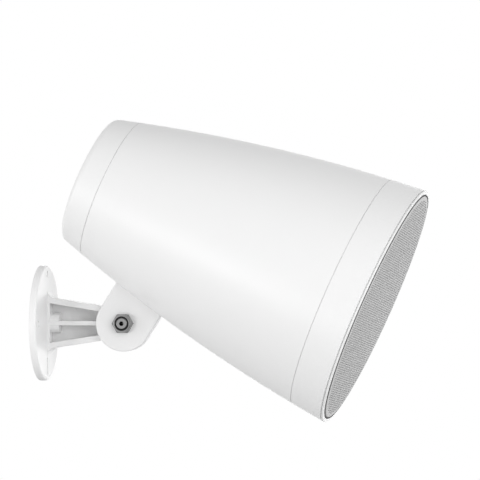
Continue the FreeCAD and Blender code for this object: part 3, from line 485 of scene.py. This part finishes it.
def make_grille():
    """Dished sheet with open holes and a turned-back skirt."""
    flat_radius = GRILLE_RADIUS - GRILLE_BEND
    steps, sides = GRILLE_RIM_STEPS, GRILLE_HOLE_SIDES
    points = circle_points(Vector((0.0, 0.0)), flat_radius, steps)
    edges = loop_edges(0, steps)
    centres = hole_centres(flat_radius - GRILLE_PLAIN_MARGIN)
    for centre in centres:
        edges += loop_edges(len(points), sides)
        points += circle_points(centre, GRILLE_HOLE_RADIUS, sides)
    flat, _, triangles, sources, _, _ = delaunay_2d_cdt(points, edges, [], 0, SAME_POINT)
    loop_of = [-1 if ids[0] < steps else (ids[0] - steps) // sides for ids in sources]
    order = {ids[0]: index for index, ids in enumerate(sources)}

    # Front and back of the sheet, without the triangles that fill a hole, and the walls of the holes
    count = len(flat)
    heights = [dome_height(point.length, flat_radius) for point in flat]
    front = [grille_place(height, point.x, point.y) for height, point in zip(heights, flat)]
    back = [grille_place(height - GRILLE_SHEET, point.x, point.y) for height, point in zip(heights, flat)]
    faces = []
    for a, b, c in triangles:
        if loop_of[a] == loop_of[b] == loop_of[c] >= 0:
            continue
        faces.append((a, b, c))
        faces.append((c + count, b + count, a + count))
    for hole in range(len(centres)):
        for first, second in loop_edges(steps + hole * sides, sides):
            a, b = order[first], order[second]
            faces.append((b, a, a + count, b + count))
    smooth = [False] * len(faces)

    # Skirt, from the front of the rim round to its back
    vertices = front + back
    rings = [[order[index] for index in range(steps)]]
    for along, radius in skirt_profile():
        rings.append(list(range(len(vertices), len(vertices) + steps)))
        vertices += [
            grille_place(along, radius * math.cos(turn), radius * math.sin(turn))
            for turn in circle_turns(steps)
        ]
    rings.append([order[index] + count for index in range(steps)])
    for near, far in zip(rings, rings[1:]):
        for first, second in loop_edges(0, steps):
            faces.append((near[first], far[first], far[second], near[second]))
            smooth.append(True)
    return mesh_object("grille_perforated", vertices, faces, smooth)


# Fasteners

def hexagon_radius(flats):
    """Radius of a hexagon by the turn, with a corner at zero."""
    side = math.pi / 3.0
    return lambda turn: flats / 2.0 / math.cos(turn % side - side / 2.0)


def cross_radius(length, width):
    """Radius of a cross-shaped recess by the turn."""
    def radius(turn):
        level = max(abs(math.cos(turn)), CROSS_LEAST_SHARE)
        upright = max(abs(math.sin(turn)), CROSS_LEAST_SHARE)
        level_bar = min(length / level, width / 2.0 / upright)
        upright_bar = min(width / 2.0 / level, length / upright)
        return max(level_bar, upright_bar)
    return radius


def thread_rings(start, end, radius, pitch, depth):
    """Rings of a screw thread between two heights."""
    def thread(height):
        def at_turn(turn):
            share = (height / pitch + turn / (2.0 * math.pi)) % 1.0
            return radius - depth * abs(2.0 * share - 1.0)
        return at_turn

    count = int((end - start) / pitch * STEPS_PER_PITCH)
    heights = [start + (end - start) * index / count for index in range(count + 1)]
    return [(height, thread(height)) for height in heights]


def turned_piece(place, tail, rings, tip):
    """Vertices and faces of a closed turned body: rings between a tail and a tip on its axis.

    Each ring has a height along the axis and a radius, plain or by the turn.
    """
    vertices = [place(tail, 0.0, 0.0)]
    for height, radius in rings:
        for turn in circle_turns(TURN_STEPS):
            reach_out = radius(turn) if callable(radius) else radius
            vertices.append(place(height, reach_out * math.cos(turn), reach_out * math.sin(turn)))
    vertices.append(place(tip, 0.0, 0.0))
    last_vertex = len(vertices) - 1
    last_ring = (len(rings) - 1) * TURN_STEPS
    faces = []
    for first, second in loop_edges(1, TURN_STEPS):
        faces.append((0, second, first))
        for near in range(0, last_ring, TURN_STEPS):
            far = near + TURN_STEPS
            faces.append((first + near, second + near, second + far, first + far))
        faces.append((first + last_ring, second + last_ring, last_vertex))
    return vertices, faces


def crisp_object(name, parts):
    """One object of several bodies, smooth apart from its sharp edges."""
    vertices, faces = [], []
    for part_vertices, part_faces in parts:
        shift = len(vertices)
        vertices += part_vertices
        faces += [tuple(index + shift for index in face) for face in part_faces]
    obj = mesh_object(name, vertices, faces, [True] * len(faces))
    obj.data.set_sharp_from_angle(angle=SHARP_ANGLE)
    return obj


def make_bolt():
    """Hinge bolt: a chamfered hexagon head, a threaded end and a hexagon socket in its tip."""
    upright = Vector((0.0, 0.0, 1.0))
    flats = reach("pivot_bolt", upright)[1] - reach("pivot_bolt", upright)[0]
    place = place_in_space(Vector(joints["tilt"]["pos_m"]), -SIDE, Vector((1.0, 0.0, 0.0)), upright)
    low, high = reach("pivot_bolt", SIDE)
    head, tip = -high, -low
    seat = head + BOLT_HEAD_HEIGHT
    thread_start = tip - BOLT_THREAD_LENGTH
    shoulder = tip - BOLT_TIP_CHAMFER
    socket = hexagon_radius(BOLT_SOCKET_FLATS)
    socket_floor = tip - BOLT_SOCKET_DEPTH
    rings = [
        (head, flats / 2.0 * HEX_FACE_SHARE),
        (head + HEX_CHAMFER_HEIGHT, hexagon_radius(flats)),
        (seat, hexagon_radius(flats)),
        (seat, BOLT_RADIUS),
        (thread_start, BOLT_RADIUS),
    ]
    rings += thread_rings(thread_start + BOLT_PITCH, shoulder, BOLT_RADIUS, BOLT_PITCH, BOLT_THREAD_DEPTH)
    rings += [
        (tip, BOLT_RADIUS - BOLT_TIP_CHAMFER),
        (tip, socket),
        (socket_floor, socket),
    ]
    bolt = turned_piece(place, head, rings, socket_floor - BOLT_SOCKET_POINT)
    return crisp_object("pivot_bolt_threaded", [bolt])


def screw_rings(head, end):
    """Rings of a round-headed screw with a cross recess, from its head's top to its end."""
    floor_cross = cross_radius(CROSS_LENGTH * CROSS_FLOOR_SHARE, CROSS_WIDTH * CROSS_FLOOR_SHARE)
    rings = [
        (head + CROSS_DEPTH, floor_cross),
        (head, cross_radius(CROSS_LENGTH, CROSS_WIDTH)),
    ]
    for index in range(ROUND_STEPS + 1):
        turn = math.pi / 2.0 * index / ROUND_STEPS
        drop = SCREW_HEAD_ROUND * (1.0 - math.cos(turn))
        rings.append((head + drop, SCREW_HEAD_RADIUS + SCREW_HEAD_ROUND * (math.sin(turn) - 1.0)))
    seat = head + SCREW_HEAD_HEIGHT
    rings += [(seat, SCREW_HEAD_RADIUS), (seat, SCREW_RADIUS)]
    rings += thread_rings(
        seat + SCREW_PITCH, end - SCREW_TIP_LENGTH, SCREW_RADIUS, SCREW_PITCH, SCREW_THREAD_DEPTH
    )
    return rings


def make_cap_screws():
    """Screws of the rear cap."""
    head, end = reach("cap_screws", ALONG)
    spread = reach("cap_screws", SIDE)[1] - SCREW_HEAD_RADIUS
    axis_height = UP * middle("cap_screws", UP)
    screws = []
    for side in (-1, 1):
        for height in (-1, 1):
            centre = axis_height + SIDE * side * spread + UP * height * spread
            place = place_in_space(centre, ALONG, SIDE, UP)
            screws.append(turned_piece(place, head + CROSS_DEPTH, screw_rings(head, end), end))
    return crisp_object("cap_screws_cross_head", screws)


# Seams

def make_seam_bead(name, edge, side):
    """Thin ring in the gap beyond one end of the shell, a little below the skin.

    The side is 1 where the gap lies ahead of the end, and -1 where it lies behind.
    """
    axis_height = middle("front_ring", UP)
    shell = nodes["cabinet_shell"].data.vertices
    skin = max(
        radius for radius, vertex in zip(axis_radii("cabinet_shell", axis_height), shell)
        if abs(vertex.co.dot(ALONG) - edge) < SEAM_PLAY
    )
    place = place_in_space(UP * axis_height, ALONG, SIDE, UP)
    near, far = edge + side * SEAM_PLAY, edge + side * (SEAM_GAP - SEAM_PLAY)
    high, low = skin - SEAM_DEPTH, skin - SEAM_DEPTH - SEAM_BEAD_HEIGHT
    corners = [(near, low), (near, high), (far, high), (far, low)]
    vertices = [
        place(along, radius * math.cos(turn), radius * math.sin(turn))
        for along, radius in corners for turn in circle_turns(SEAM_STEPS)
    ]
    faces = []
    for corner, next_corner in loop_edges(0, len(corners)):
        here, there = corner * SEAM_STEPS, next_corner * SEAM_STEPS
        for first, second in loop_edges(0, SEAM_STEPS):
            face = (here + first, there + first, there + second, here + second)
            faces.append(face[::-side])
    return crisp_object(name, [(vertices, faces)])


# Soft rings

def add_soft_ring(name, node):
    """Soft ring in a node's place: a copy of the node's mesh."""
    obj = linked_object(name, nodes[node].data.copy())
    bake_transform(obj)
    return obj


# The part

for subpart in frame["record"]["subparts"]:
    paint(nodes[subpart["node"]], subpart["material_slot"])
add_piece(make_grille(), "cabinet", "grille_paint", "grille")
add_piece(make_bolt(), "bracket", "bright_steel", "pivot_bolt")
add_piece(make_cap_screws(), "cabinet", "screw_steel", "cap_screws")
shell_rear, shell_front = reach("cabinet_shell", ALONG)
add_piece(make_seam_bead("front_seam_bead", shell_front, 1), "cabinet", "white_moulding")
add_piece(make_seam_bead("rear_seam_bead", shell_rear, -1), "cabinet", "white_moulding")
finish_piece(add_soft_ring("surround_roll", "surround"), "black_rubber", "surround")
finish_piece(add_soft_ring("spider_ring", "spider"), "spider_cloth", "spider")

# The stage

add_camera()
light_world()
add_floor()
for soft_box in SOFT_BOXES:
    add_soft_box(*soft_box)
scene.view_settings.view_transform = "Standard"
